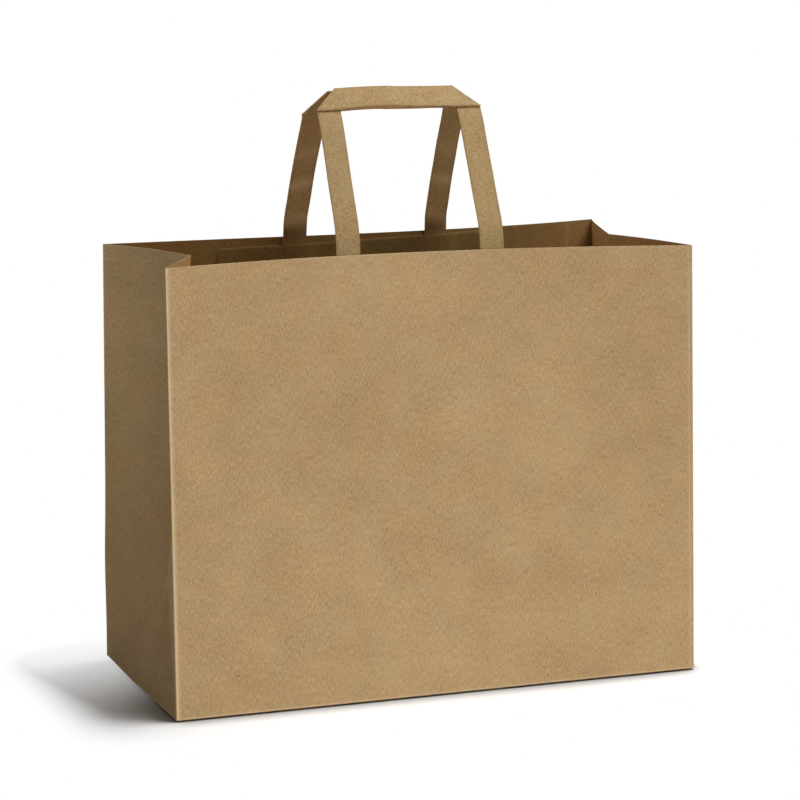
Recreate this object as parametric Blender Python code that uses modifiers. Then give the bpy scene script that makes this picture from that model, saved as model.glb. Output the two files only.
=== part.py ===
"""Flat handle paper bag, standing open.

The body is one folded and glued kraft sheet: two wide panels, two side panels that are creased inwards
along their middle, and a block bottom of two glued flaps over the ends of the side panels. Two flat paper
straps, folded at their upper corners, are the handles. A paper patch glued inside each wide panel holds
the ends of its strap.

Metres. X runs along the front panel, Y from front to back, Z up. The origin is the middle of the base.
"""

import math
from collections import namedtuple

import bmesh
import bpy
from mathutils import Vector

# The sheet of the body, and the box that it is folded to
SHEET = 0.0002
BAG_WIDTH = 0.350
BAG_DEPTH = 0.160
BAG_HEIGHT = 0.275

# How far each top corner leans in over its bottom corner and hangs lower than the middle of the rim, and
# how far the rims bow in between the corners
FRONT_LEFT_LEAN = 0.0120
FRONT_RIGHT_LEAN = 0.0123
BACK_LEFT_LEAN = 0.0069
BACK_RIGHT_LEAN = -0.0056
FRONT_LEFT_DROP = 0.0013
FRONT_RIGHT_DROP = 0.0013
BACK_LEFT_DROP = 0.0013
BACK_RIGHT_DROP = -0.0010
FRONT_BOW = 0.0170
BACK_BOW = 0.0165
BOW_RISE = 1.5

# The point where the folds of a side panel meet, and the crease across the back from folding the bag flat
APEX_HEIGHT = 0.071
CREASE_HEIGHT = 0.066
CREASE_SWELL = 0.0008
CREASE_FADE = 6

# The glued laps of the bottom and of the seam
BOTTOM_OVERLAP = 0.010
SEAM_LAP = 0.020

# The handles
STRAP_WIDTH = 0.016
STRAP = 0.0007
STRAP_FOLD_GAP = 0.0003
HANDLE_LENGTH = 0.147
GRIP_STAND_OFF = 0.0010
FOOT_BEND = 0.006
FOOT_BEND_LENGTH = 0.014
GRIP_BEND_LENGTH = 0.012

# How each handle stands: its middle, how far its legs are apart at the grip and how much more at the rim,
# how high it rises above the rim, how askew it is glued in, and how far its legs and its grip lean in
FRONT = -1
BACK = 1
Handle = namedtuple("Handle", "face middle pitch splay rise tilt leg_lean grip_lean")
FRONT_HANDLE = Handle(
    face=FRONT,
    middle=-0.0050,
    pitch=0.0940,
    splay=0.0020,
    rise=0.1100,
    tilt=math.radians(0.3),
    leg_lean=math.radians(25.5),
    grip_lean=math.radians(36),
)
BACK_HANDLE = Handle(
    face=BACK,
    middle=0.0012,
    pitch=0.0970,
    splay=0.0030,
    rise=0.1050,
    tilt=math.radians(1.4),
    leg_lean=math.radians(26.5),
    grip_lean=math.radians(24),
)

# The patches over the strap ends
PATCH = 0.0002
PATCH_LENGTH = 0.200
PATCH_HEIGHT = 0.045
PATCH_TOP = 0.0045
PATCH_RAMP = 0.003
PATCH_EASE = 0.0009

# The clear space between two neighbouring pieces
PIECE_GAP = 0.0003

# How finely the bowed panels and the bent straps are divided
PANEL_COLUMNS = 14
PANEL_ROWS = 7
PATCH_ROWS = 3
BEND_STEPS = 4
FOLD_STEPS = 4

COLLECTION = "flat_handle_paper_bag"


def clear_scene():
    for old in list(bpy.data.objects):
        bpy.data.objects.remove(old, do_unlink=True)


def make_material(name, colour, roughness):
    """A plain paper material; the colour is linear red, green and blue."""
    material = bpy.data.materials.new(name)
    material.use_nodes = True
    shader = material.node_tree.nodes["Principled BSDF"]
    shader.inputs["Base Color"].default_value = (*colour, 1.0)
    shader.inputs["Roughness"].default_value = roughness
    shader.inputs["Metallic"].default_value = 0.0
    material.diffuse_color = (*colour, 1.0)
    return material


def add_object(name, mesh, material, collection):
    piece = bpy.data.objects.new(name, mesh)
    piece.data.materials.append(material)
    collection.objects.link(piece)
    return piece


def mesh_from(bm, name):
    mesh = bpy.data.meshes.new(name)
    bm.to_mesh(mesh)
    bm.free()
    return mesh


def add_thickness(piece, thickness, offset):
    """Solidify an open sheet: offset 0 thickens it both ways, -1 thickens it inwards."""
    modifier = piece.modifiers.new("paper thickness", "SOLIDIFY")
    modifier.thickness = thickness
    modifier.offset = offset
    modifier.use_even_offset = True


# The folded form of the body

def between(left, right, across):
    """The value at across, which runs from -1 at the left to 1 at the right."""
    return left + (right - left) * (across + 1) / 2


def panel_point(face, across, up):
    """The outside of a wide panel. across runs from -1 at its left edge to 1, up from 0 at the base to 1."""
    if face == FRONT:
        corner_lean = between(FRONT_LEFT_LEAN, FRONT_RIGHT_LEAN, across)
        corner_drop = between(FRONT_LEFT_DROP, FRONT_RIGHT_DROP, across)
        bow = FRONT_BOW
    else:
        corner_lean = between(BACK_LEFT_LEAN, BACK_RIGHT_LEAN, across)
        corner_drop = between(BACK_LEFT_DROP, BACK_RIGHT_DROP, across)
        bow = BACK_BOW
    lean = corner_lean * up + bow * (1 - across**2) * up**BOW_RISE
    rim_height = math.sqrt(BAG_HEIGHT**2 - corner_lean**2) - corner_drop * across**2
    return Vector((across * BAG_WIDTH / 2, face * (BAG_DEPTH / 2 - lean), rim_height * up))


def fold_depth(side, up):
    """How far the paper of a side panel folds in at its middle, as its two edges come closer."""
    front = panel_point(FRONT, side, up)
    back = panel_point(BACK, side, up)
    half_gap = (back - front).xy.length / 2
    return math.sqrt(max((BAG_DEPTH / 2) ** 2 - half_gap**2, 0.0))


def middle_fold(side, up):
    """The move of a side panel's middle crease from the line between its edges: inwards and slightly down."""
    apex = APEX_HEIGHT / BAG_HEIGHT
    up = max(up, apex)
    drop = APEX_HEIGHT - math.sqrt(APEX_HEIGHT**2 - fold_depth(side, apex) ** 2)
    edge_height = (panel_point(FRONT, side, up).z + panel_point(BACK, side, up).z) / 2
    return Vector((-side * fold_depth(side, up), 0, up * BAG_HEIGHT - drop - edge_height))


def side_point(side, across, up):
    """The outside of a side panel. across runs from -1 at its front edge to 1 at its back edge."""
    front = panel_point(FRONT, side, up)
    back = panel_point(BACK, side, up)
    share = min(1 - abs(across), up * BAG_HEIGHT / APEX_HEIGHT)
    return front.lerp(back, (1 + across) / 2) + middle_fold(side, up) * share


def crease_swell(height):
    """The slight ridge that the horizontal crease leaves across the back panel."""
    if height < CREASE_HEIGHT:
        return CREASE_SWELL * height / CREASE_HEIGHT
    return CREASE_SWELL * max(0.0, 1 - (height - CREASE_HEIGHT) / CREASE_HEIGHT)


def folded(point):
    """Where a point of the plain box comes to lie once the sheet is creased and leans as in use."""
    up = point.z / BAG_HEIGHT
    half_width = BAG_WIDTH / 2
    half_depth = BAG_DEPTH / 2
    across = point.x / half_width
    if abs(point.y) > half_depth - SHEET / 10:
        face = FRONT if point.y < 0 else BACK
        place = panel_point(face, across, up)
        if face == BACK:
            place.y += crease_swell(point.z) * (1 - abs(across) ** CREASE_FADE)
        return place
    if abs(point.x) > half_width - SHEET / 10 and point.z > 0:
        return side_point(math.copysign(1, point.x), point.y / half_depth, up)
    return point.copy()


def cut(bm, faces, point, normal):
    """Cut the given faces along a plane, leaving both sides."""
    edges = {edge for face in faces for edge in face.edges}
    verts = {vert for face in faces for vert in face.verts}
    bmesh.ops.bisect_plane(
        bm, geom=[*verts, *edges, *faces], dist=SHEET / 100, plane_co=point, plane_no=normal
    )


def faces_towards(bm, axis, sign=None):
    """The faces whose normal lies along one axis, both ways or only towards sign."""
    found = []
    for face in bm.faces:
        along = face.normal[axis]
        if abs(along) > 0.9 and (sign is None or along * sign > 0):
            found.append(face)
    return found


def cut_creases(bm):
    """Cut the lines that the sheet folds along into the plain box."""
    half_depth = BAG_DEPTH / 2
    cut(bm, faces_towards(bm, 1, BACK), (0, 0, CREASE_HEIGHT), (0, 0, 1))
    for row in range(PANEL_ROWS):
        height = APEX_HEIGHT + (BAG_HEIGHT - APEX_HEIGHT) * row / PANEL_ROWS
        cut(bm, faces_towards(bm, 0) + faces_towards(bm, 1), (0, 0, height), (0, 0, 1))
    cut(bm, faces_towards(bm, 0), (0, 0, 0), (0, 1, 0))
    for end in (FRONT, BACK):
        low_sides = [face for face in faces_towards(bm, 0) if face.calc_center_median().z < APEX_HEIGHT]
        cut(bm, low_sides, (0, end * half_depth, 0), (0, APEX_HEIGHT, end * half_depth))


def cut_columns(bm):
    """Divide the wide panels so that they can bow, and along the edge of the glued seam."""
    for column in range(1, PANEL_COLUMNS):
        x = BAG_WIDTH * (column / PANEL_COLUMNS - 0.5)
        cut(bm, faces_towards(bm, 1), (x, 0, 0), (1, 0, 0))
    cut(bm, faces_towards(bm, 1, BACK), (BAG_WIDTH / 2 - SEAM_LAP, 0, 0), (1, 0, 0))


def cut_bottom(bm):
    """Cut the outlines of the two bottom flaps into the base."""
    cut(bm, faces_towards(bm, 2), (0, -BOTTOM_OVERLAP, 0), (0, 1, 0))
    for side in (-1, 1):
        for end in (FRONT, BACK):
            corner = (side * BAG_WIDTH / 2, end * BAG_DEPTH / 2, 0)
            cut(bm, faces_towards(bm, 2), corner, (side, -end, 0))


def on_flap(centre, end):
    """Whether a point of the base lies on the flap that is folded in from the front or the back."""
    from_fold = BAG_DEPTH / 2 - end * centre.y
    return from_fold < BAG_DEPTH / 2 + BOTTOM_OVERLAP and abs(centre.x) < BAG_WIDTH / 2 - from_fold


def raise_faces(bm, faces, step):
    """Raise a group of faces by one thickness of paper, with a cut edge round it."""
    made = bmesh.ops.extrude_face_region(bm, geom=faces)["geom"]
    bmesh.ops.delete(bm, geom=faces, context="FACES")
    raised = [item for item in made if isinstance(item, bmesh.types.BMVert)]
    bmesh.ops.translate(bm, verts=raised, vec=step)
    bm.normal_update()


def add_flaps(bm):
    """The flaps of the block bottom: the front one under the ends of the sides, the back one under both."""
    down = Vector((0, 0, -SHEET))
    for ends in ((FRONT, BACK), (BACK,)):
        flap = [
            face
            for face in faces_towards(bm, 2, -1)
            if face.calc_center_median().z < SHEET / 10
            and any(on_flap(face.calc_center_median(), end) for end in ends)
        ]
        raise_faces(bm, flap, down)
    bmesh.ops.translate(bm, verts=bm.verts, vec=-2 * down)


def add_seam(bm):
    """The lap where one end of the sheet is glued over the other, at the right of the back panel."""
    edge = BAG_WIDTH / 2 - SEAM_LAP
    lap = []
    for face in faces_towards(bm, 1, BACK):
        centre = face.calc_center_median()
        if centre.x > edge and centre.y > 0:
            lap.append(face)
    raise_faces(bm, lap, Vector((0, SHEET, 0)))


def make_body(collection):
    bm = bmesh.new()
    bmesh.ops.create_cube(bm, size=1)
    bmesh.ops.scale(bm, vec=(BAG_WIDTH, BAG_DEPTH, BAG_HEIGHT), verts=bm.verts)
    bmesh.ops.translate(bm, vec=(0, 0, BAG_HEIGHT / 2), verts=bm.verts)
    bm.normal_update()
    bmesh.ops.delete(bm, geom=faces_towards(bm, 2, 1), context="FACES_ONLY")
    cut_creases(bm)
    cut_columns(bm)
    cut_bottom(bm)
    for vert in bm.verts:
        vert.co = folded(vert.co)
    bm.normal_update()

    material = make_material("bag_paper", (0.43, 0.29, 0.148), 0.85)
    sheet = add_object("bag_sheet", mesh_from(bm, "bag_sheet"), material, collection)
    add_thickness(sheet, SHEET, -1)
    bpy.context.view_layer.update()
    graph = bpy.context.evaluated_depsgraph_get()
    shell = bpy.data.meshes.new_from_object(sheet.evaluated_get(graph))
    bpy.data.objects.remove(sheet, do_unlink=True)

    bm = bmesh.new()
    bm.from_mesh(shell)
    bm.normal_update()
    add_seam(bm)
    add_flaps(bm)
    bm.to_mesh(shell)
    bm.free()
    shell.name = "bag_body"
    shell.materials.clear()
    add_object("bag_body", shell, material, collection)


# The handles

def inside_point(face, x, height, standoff):
    """A point at a distance inside a wide panel, at a height that may pass the rim and follows its lean."""
    across = x / (BAG_WIDTH / 2)
    up = height / BAG_HEIGHT
    if up <= 1:
        wall = panel_point(face, across, up)
    else:
        rim = panel_point(face, across, 1)
        below = panel_point(face, across, 1 - SHEET)
        wall = rim + (rim - below).normalized() * (height - BAG_HEIGHT)
    return wall - Vector((0, face * standoff, 0))


def panel_lean(face, x):
    """The angle by which a wide panel leans in at its rim."""
    across = x / (BAG_WIDTH / 2)
    slope = panel_point(face, across, 1) - panel_point(face, across, 1 - SHEET)
    return math.atan2(abs(slope.y), slope.z)


def strap_place(handle, x, height, layer):
    """Bend the flat handle: it follows the panel up to the foot bend, and leans further in from there.

    height is measured along the strap from the rim, and layer is how far the point lies outside the
    middle of the leg.
    """
    standoff = 2 * SHEET + PIECE_GAP + STRAP / 2
    if height <= FOOT_BEND:
        return inside_point(handle.face, x, BAG_HEIGHT + height, standoff - layer)
    start = inside_point(handle.face, x, BAG_HEIGHT + FOOT_BEND, standoff)
    angle = panel_lean(handle.face, x)
    inwards = upwards = 0.0
    reached = FOOT_BEND
    grip_bend = handle.rise - STRAP_WIDTH - GRIP_BEND_LENGTH
    bends = (
        (FOOT_BEND, FOOT_BEND_LENGTH, handle.leg_lean),
        (grip_bend, GRIP_BEND_LENGTH, handle.grip_lean),
    )
    for bend, length, lean in bends:
        straight = min(height, bend) - reached
        inwards += straight * math.sin(angle)
        upwards += straight * math.cos(angle)
        reached += straight
        turn = (lean - angle) / length
        turned = min(height - reached, length)
        if turned > 0:
            new_angle = angle + turn * turned
            inwards += (math.cos(angle) - math.cos(new_angle)) / turn
            upwards += (math.sin(new_angle) - math.sin(angle)) / turn
            angle = new_angle
            reached += turned
    straight = height - reached
    inwards += straight * math.sin(angle) - layer * math.cos(angle)
    upwards += straight * math.cos(angle) + layer * math.sin(angle)
    return start + Vector((0, -handle.face * inwards, upwards))


def strap_stations(handle):
    """Cross lines of the right half of a flat handle, from the foot of its leg to the middle of its grip.

    Each holds the outer and the inner edge as (x from the middle, height above the rim, layer).
    """
    outer = (handle.pitch + STRAP_WIDTH) / 2
    inner = outer - STRAP_WIDTH
    grip_low = handle.rise - STRAP_WIDTH
    foot = handle.rise - HANDLE_LENGTH
    lead = 2 * STRAP
    heights = [foot, foot / 2, 0]
    heights += [FOOT_BEND + FOOT_BEND_LENGTH * step / BEND_STEPS for step in range(BEND_STEPS + 1)]
    grip_bend = grip_low - lead - GRIP_BEND_LENGTH
    heights += [grip_bend + GRIP_BEND_LENGTH * step / BEND_STEPS for step in range(BEND_STEPS + 1)]
    stations = [((outer, height, 0), (inner, height, 0)) for height in heights]
    radius = (STRAP + STRAP_FOLD_GAP) / 2
    for step in range(FOLD_STEPS + 1):
        angle = math.pi * step / FOLD_STEPS
        out = radius * math.sin(angle) / math.sqrt(2)
        layer = radius * (1 - math.cos(angle))
        stations.append(((outer + out, grip_low + out, layer), (inner + out, handle.rise + out, layer)))
    for x in (inner - lead, inner / 2, 0):
        stations.append(((x, grip_low, 2 * radius + GRIP_STAND_OFF), (x, handle.rise, 2 * radius)))
    return stations


def leg_spread(handle, height):
    """How much further out than at the grip the middle of a leg lies, at a height above the rim."""
    grip_low = handle.rise - STRAP_WIDTH
    return handle.splay / 2 * max(grip_low - height, 0) / grip_low


def make_handle(name, handle, material, collection):
    """A strap whose legs follow the panel, folded across its two upper corners and joined by its grip."""
    half = strap_stations(handle)
    other = [tuple((-x, height, layer) for x, height, layer in station) for station in reversed(half[:-1])]
    stations = half + other
    bm = bmesh.new()
    bmesh.ops.create_grid(bm, x_segments=len(stations) - 1, y_segments=2, size=1)
    for vert in bm.verts:
        position = (vert.co.x + 1) / 2 * (len(stations) - 1)
        outer, inner = (Vector(edge) for edge in stations[round(position)])
        x, height, layer = outer.lerp(inner, (vert.co.y + 1) / 2)
        x += math.copysign(leg_spread(handle, height), x)
        vert.co = strap_place(handle, handle.middle + x, height + x * math.tan(handle.tilt), layer)
    strap = add_object(name, mesh_from(bm, name), material, collection)
    add_thickness(strap, STRAP, 0)


# The patches

def patch_columns(handle):
    """Where the patch changes its distance to the panel, as (x, rise); rise 1 is over a strap."""
    columns = [(-PATCH_LENGTH / 2, 0.0)]
    foot = handle.pitch / 2 + leg_spread(handle, -PATCH_TOP - PATCH_HEIGHT / 2)
    near = STRAP_WIDTH / 2 + PATCH_EASE
    for side in (-1, 1):
        centre = handle.middle + side * foot
        columns += [
            (centre - near - PATCH_RAMP, 0.0),
            (centre - near, 1.0),
            (centre, 1.0),
            (centre + near, 1.0),
            (centre + near + PATCH_RAMP, 0.0),
        ]
        if side < 0:
            columns.append((handle.middle, 0.0))
    columns.append((PATCH_LENGTH / 2, 0.0))
    return columns


def make_patch(name, handle, material, collection):
    """A strip of paper glued inside a wide panel, which rides up over the two strap ends."""
    columns = patch_columns(handle)
    low = 2 * SHEET + PIECE_GAP + PATCH / 2
    bm = bmesh.new()
    bmesh.ops.create_grid(bm, x_segments=len(columns) - 1, y_segments=PATCH_ROWS, size=1)
    for vert in bm.verts:
        x, rise = columns[round((vert.co.x + 1) / 2 * (len(columns) - 1))]
        drop = PATCH_TOP + PATCH_HEIGHT * (1 - vert.co.y) / 2 - x * math.tan(handle.tilt)
        standoff = low + rise * (STRAP + PIECE_GAP)
        vert.co = inside_point(handle.face, x, BAG_HEIGHT - drop, standoff)
    patch = add_object(name, mesh_from(bm, name), material, collection)
    add_thickness(patch, PATCH, 0)


def main():
    clear_scene()
    collection = bpy.data.collections.new(COLLECTION)
    bpy.context.scene.collection.children.link(collection)
    make_body(collection)
    strap_paper = make_material("strap_paper", (0.43, 0.30, 0.155), 0.8)
    patch_paper = make_material("patch_paper", (0.40, 0.28, 0.145), 0.85)
    for handle, name in ((FRONT_HANDLE, "front"), (BACK_HANDLE, "back")):
        make_handle(name + "_handle", handle, strap_paper, collection)
        make_patch(name + "_patch", handle, patch_paper, collection)


main()
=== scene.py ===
"""Flat handle paper bag: the looks.

Every node of the frame is replaced by a finer sheet of the same form, with soft folds, waves and a kraft
paper material. Metres; X runs along the front panel, Y from front to back, Z up.
"""

import math
from collections import namedtuple

import bmesh
import bpy
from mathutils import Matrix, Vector, noise


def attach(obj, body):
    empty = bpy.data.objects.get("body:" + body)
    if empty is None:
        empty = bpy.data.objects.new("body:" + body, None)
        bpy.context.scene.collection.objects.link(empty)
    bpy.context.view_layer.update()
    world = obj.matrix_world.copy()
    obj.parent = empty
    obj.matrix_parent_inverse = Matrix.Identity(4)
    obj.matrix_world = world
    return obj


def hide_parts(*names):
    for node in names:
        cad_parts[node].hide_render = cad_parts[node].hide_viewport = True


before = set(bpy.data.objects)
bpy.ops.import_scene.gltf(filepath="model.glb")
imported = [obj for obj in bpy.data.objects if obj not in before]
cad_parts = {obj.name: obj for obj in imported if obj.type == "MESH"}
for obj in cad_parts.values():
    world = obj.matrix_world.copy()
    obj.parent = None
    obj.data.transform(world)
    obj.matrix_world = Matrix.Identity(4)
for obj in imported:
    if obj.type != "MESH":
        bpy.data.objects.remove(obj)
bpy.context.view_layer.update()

# The form of the bag, as in the part's source
SHEET = 0.0002
BAG_WIDTH = 0.350
BAG_DEPTH = 0.160
BAG_HEIGHT = 0.275
FRONT_LEFT_LEAN = 0.0120
FRONT_RIGHT_LEAN = 0.0123
BACK_LEFT_LEAN = 0.0069
BACK_RIGHT_LEAN = -0.0056
FRONT_LEFT_DROP = 0.0013
FRONT_RIGHT_DROP = 0.0013
BACK_LEFT_DROP = 0.0013
BACK_RIGHT_DROP = -0.0010
FRONT_BOW = 0.0170
BACK_BOW = 0.0165
BOW_RISE = 1.5
APEX_HEIGHT = 0.071
CREASE_HEIGHT = 0.066
BOTTOM_OVERLAP = 0.010
SEAM_LAP = 0.020
FRONT = -1
BACK = 1

# The flat handles and the patches that hold them, as in the part's source
STRAP_WIDTH = 0.016
STRAP = 0.0007
STRAP_FOLD_GAP = 0.0003
HANDLE_LENGTH = 0.147
GRIP_STAND_OFF = 0.0010
FOOT_BEND = 0.006
FOOT_BEND_LENGTH = 0.014
GRIP_BEND_LENGTH = 0.012
Handle = namedtuple("Handle", "face middle pitch splay rise tilt leg_lean grip_lean")
FRONT_HANDLE = Handle(
    face=FRONT,
    middle=-0.0050,
    pitch=0.0940,
    splay=0.0020,
    rise=0.1100,
    tilt=math.radians(0.3),
    leg_lean=math.radians(25.5),
    grip_lean=math.radians(36),
)
BACK_HANDLE = Handle(
    face=BACK,
    middle=0.0012,
    pitch=0.0970,
    splay=0.0030,
    rise=0.1050,
    tilt=math.radians(1.4),
    leg_lean=math.radians(26.5),
    grip_lean=math.radians(24),
)
PATCH = 0.0002
PATCH_LENGTH = 0.200
PATCH_HEIGHT = 0.045
PATCH_TOP = 0.0045
PATCH_EASE = 0.0009
PIECE_GAP = 0.0003

# How long a patch takes to rise over a strap, which is longer and softer than in the part's source
PATCH_RAMP = 0.009

# The folds: half the width over which the paper turns, and how far the edges of the grid lie from a fold
FOLD_SOFTNESS = 0.0011
BASE_SOFTNESS = 0.0006
FOLD_STEPS = (0.0, 0.0005, 0.0011, 0.0020, 0.0036)

# The spacing of the grid between the folds, and the steps round a strap's edge and corner
SIDE_STEP = 0.0025
PANEL_STEP = 0.005
STRAP_STEP = 0.0025
PATCH_STEP = 0.004
ROUND_STEPS = 6
FLAT_STEPS = 8
CORNER_STEPS = 8
CORNER_SHARES = (0.2, 0.4, 0.6, 0.8)
RAMP_STEPS = 6
RAMP_MARGIN = 0.001

# How near to a slanted crease, as a share of its height, a corner of the grid counts as lying on it
ON_CREASE = 1e-6

# The slight waves of the wide panels, which fade towards their edges and the base
WAVE_HEIGHT = 0.0005
WAVE_SIZE = 0.075
WAVE_EDGE = 0.03
WAVE_FOOT = 0.04
WAVE_SEED = 3.7

# The ridge that the horizontal crease leaves across the back, and how sharply it ends at the edges
CREASE_SWELL = 0.0008
CREASE_FADE = 6

# The curve of each half of a side panel: its size, its shares inwards and along, and how soon it grows
SIDE_BOW = 0.0022
SIDE_BOW_INWARDS = 0.5
SIDE_BOW_ALONG = 0.85
SIDE_BOW_GROWTH = 1.4
SIDE_RIM_RISE = 0.0007

# The waves of a side panel: how many go across it, and where they fade beside its creases and at the base
SIDE_WAVES = 1.6
SIDE_WAVE_EDGE = 0.25
SIDE_WAVE_FOOT = 0.03
SIDE_WAVE_SEED = 8.3

# The back left corner, which stands a little off the floor, and the swelling of the fold above it
CORNER_LIFT = 0.0024
CORNER_REACH = 0.105
CORNER_TOP = 0.15
EDGE_SWELL = 0.0007
EDGE_REACH = 0.03

# The line pressed into the front panel near its right edge: how far in it lies and how far the paper turns
SCORE_INSET = 0.0032
SCORE_TURN = 0.0003
SCORE_COLUMNS = (-12, -6, -3, 0, 3)
EDGE_STEP = 0.00015

# The base: its height, how far its middle sags, and how far from its edges the flaps come to lie as they do
BASE_HEIGHT = -0.0008
BASE_BELLY = 0.0004
BELLY_REACH = 0.045
FLAP_REACH = 0.02
FLOOR_HEIGHT = -0.0021

# The pale lines on the body's folds and creases, partly real scuffs and partly painted highlight where the
# folds catch the light: how broad and how strong each is
ScuffAndHighlight = namedtuple("ScuffAndHighlight", "breadth strength")
FOLD_SCUFF_AND_HIGHLIGHT = ScuffAndHighlight(0.0011, 1.0)
MIDDLE_SCUFF_AND_HIGHLIGHT = ScuffAndHighlight(0.0007, 0.80)
BASE_SCUFF_AND_HIGHLIGHT = ScuffAndHighlight(0.0007, 0.65)
RIM_SCUFF_AND_HIGHLIGHT = ScuffAndHighlight(0.0009, 0.4)
SCORE_SCUFF_AND_HIGHLIGHT = ScuffAndHighlight(0.0005, 0.35)
DIAGONAL_SCUFF_AND_HIGHLIGHT = ScuffAndHighlight(0.0015, 0.12)
FRONT_RIGHT_STRENGTH = 0.1
MIDDLE_FOLDS = (2, 5)
MIDDLE_PALE_LINE_ABOVE = 0.055
MIDDLE_PALE_LINE_BELOW = 0.018
BASE_PALE_LINE_RISE = 0.0004
PALE_LINE_INSET = 0.0009

# The edges of the flaps, straps and patches: how broad their paler or darker line is and how strong; the
# flaps' and straps' lines mark their cut edges, and the patches' top edge is painted paler
FLAP_CUT_BREADTH = 0.001
FLAP_END_SHARPNESS = 90
FLAP_CUT_WEAR = 0.6
STRAP_CUT_BREADTH = 0.0007
STRAP_CUT_WEAR = -0.8
PATCH_TOP_PALE_BREADTH = 0.0011

# The slight waves of the straps and patches
STRAP_WAVE = 0.0006
BACK_STRAP_WAVE = 0.0014
STRAP_WAVE_SIZE = 0.024
STRAP_WAVE_ACROSS = 0.06
STRAP_WAVE_START = 0.012
STRAP_FACE_SEED = 5.1
STRAP_SIDE_SEED = 2.3
PATCH_WAVE = 0.0001
PATCH_WAVE_ACROSS = 0.02
PATCH_WAVE_DOWN = 0.03
PATCH_MAP_SHIFT = 3

# Painted highlight: pale bands painted across the back legs where their waves catch the light: height above
# the rim, breadth and strength of each
PAINTED_BEND_HIGHLIGHTS = ((0.010, 0.0045, 0.85), (0.037, 0.0040, 0.65), (0.060, 0.0050, 0.30))
BEND_HIGHLIGHT_SLANT = 0.2

# How far a grip bows upwards at its lower and its upper edge, where, and where it comes free of the leg
GRIP_ARCH_LOW = 0.0012
GRIP_ARCH_TOP = 0.0006
GRIP_ARCH_SHIFT = 0.3
GRIP_FREE = 0.4

# The clouds and the grain of the paper
Cloud = namedtuple("Cloud", "scale detail roughness strength")
CLOUDS = (
    Cloud(9.0, 2.0, 0.5, 0.32),
    Cloud(38.0, 3.0, 0.55, 0.32),
    Cloud(170.0, 3.0, 0.6, 0.18),
    Cloud(560.0, 1.0, 0.5, 0.30),
    Cloud(1250.0, 2.0, 0.8, 1.25),
)
FIBRES = Cloud(1500.0, 1.0, 0.6, 0.85)
FIBRE_STRETCH = (1.0, 0.22, 1.0)
SEED_SHARES = (1.0, 0.37, 1.9)

# What the red, green and blue of the paper are multiplied by in its clouds, specks, scuffs and painted
# highlights, cut edges, and painted shade low on the side panels
DARK_CLOUD = (0.58, 0.52, 0.46)
PALE_CLOUD = (1.42, 1.45, 1.52)
SPECK = (0.3, 0.3, 0.3)
SCUFF_AND_HIGHLIGHT = (1.7, 1.9, 2.4)
CUT_EDGE = (0.8, 0.6, 0.4)
COOL_PATCH = (0.975, 1.015, 1.03, 1)
WARM_PATCH = (1.025, 0.985, 0.95, 1)
# Painted shade: the side panels are painted warmer and darker towards the base, as the shade there looks
PAINTED_SIDE_SHADE = (1.0, 0.96, 0.86, 1)

# The patches of warmer paper, the specks in a few of the cells, and how strongly the scuffs and painted
# highlights show
WARMTH_SHIFT = (4, 9, 2)
WARMTH_CLOUD = Cloud(34.0, 4.0, 0.6, 1.0)
WARMTH_RANGE = (0.35, 0.65)
SPECK_CELLS = 48.0
SPECK_RARITY = 0.90
SPECK_RIM = (0.022, 0.050)
SPECK_COVER = (0.75, 0.0)
SCUFF_AND_HIGHLIGHT_SHOWN = 0.8
CUT_SHOWN = -0.6

# The paper's surface: the height of its grain, and how rough its dark and pale parts are
BUMP_STRENGTH = 0.6
BUMP_HEIGHT = 0.0002
ROUGHNESS_LEVELS = (0.3, 0.7)
ROUGHNESS = (0.86, 0.72)
PAPER_SHINE = 0.3

# The floor: how pale it is from left to right, and the painted contact shadow, seen only by the camera, from
# where the bag meets it to the open
FLOOR_HALF_SIZE = 6
LEFT_SPAN = (-0.42, -0.20)
LEFT_PALENESS = (0.20, 0.86)
CONTACT_REACH = 0.018
CONTACT_OPENNESS = (0.45, 0.97)
CONTACT_PALENESS = (0.38, 1.0)

# Where the shadow fades into the white of the floor: with the distance from the bag, and behind it
SHADOW_FADE = (0.028, 0.072)
SHADOW_STRETCH = (1, 1.2, 1)
BACK_SPAN = (-0.05, 0.13)
BACK_FADE = (0.0, 0.80)

# The light from all around, and the lamps
WORLD_LIGHT = 0.035
Lamp = namedtuple("Lamp", "name place aim width height power spread")
LAMPS = (
    Lamp("key", (0.6, -0.14, 2.0), (0, 0, 0.1), 1.0, 1.2, 57, math.pi),
    Lamp("front fill", (-0.22, -1.88, 0.12), (0, 0, 0.1), 0.9, 0.20, 14, math.pi),
    Lamp("side fill", (-1.4, 0, 0.55), (-0.175, 0, 0.31), 0.3, 0.2, 0.165, math.radians(29)),
)

# The camera: its place, its turn and tilt in radians, and its focal length in pixels of a square image
CAMERA_PLACE = (-0.646473, -1.678534, 0.469361)
CAMERA_TURN = 0.3681
CAMERA_TILT = 0.1631
FOCAL_PIXELS = 2834.63
IMAGE_PIXELS = 800
SENSOR_WIDTH = 36.0


# Small helpers

def smooth(value):
    """A soft step: 0 below 0, 1 above 1."""
    value = min(max(value, 0.0), 1.0)
    return value * value * (3 - 2 * value)


def between(left, right, across):
    """The value at across, which runs from -1 at the left to 1 at the right."""
    return left + (right - left) * (across + 1) / 2


def turned(distance, softness=FOLD_SOFTNESS):
    """How far the paper has gone past a soft fold at a signed distance from its middle."""
    if distance <= -softness:
        return 0.0
    if distance >= softness:
        return distance
    return (distance + softness) ** 2 / (4 * softness)


def fade(distance, breadth):
    """1 at no distance, falling softly to nothing over a few breadths."""
    return math.exp(-((distance / breadth) ** 2))


def link(piece, body="root"):
    bpy.context.scene.collection.objects.link(piece)
    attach(piece, body)


# The folded form of the body

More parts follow.
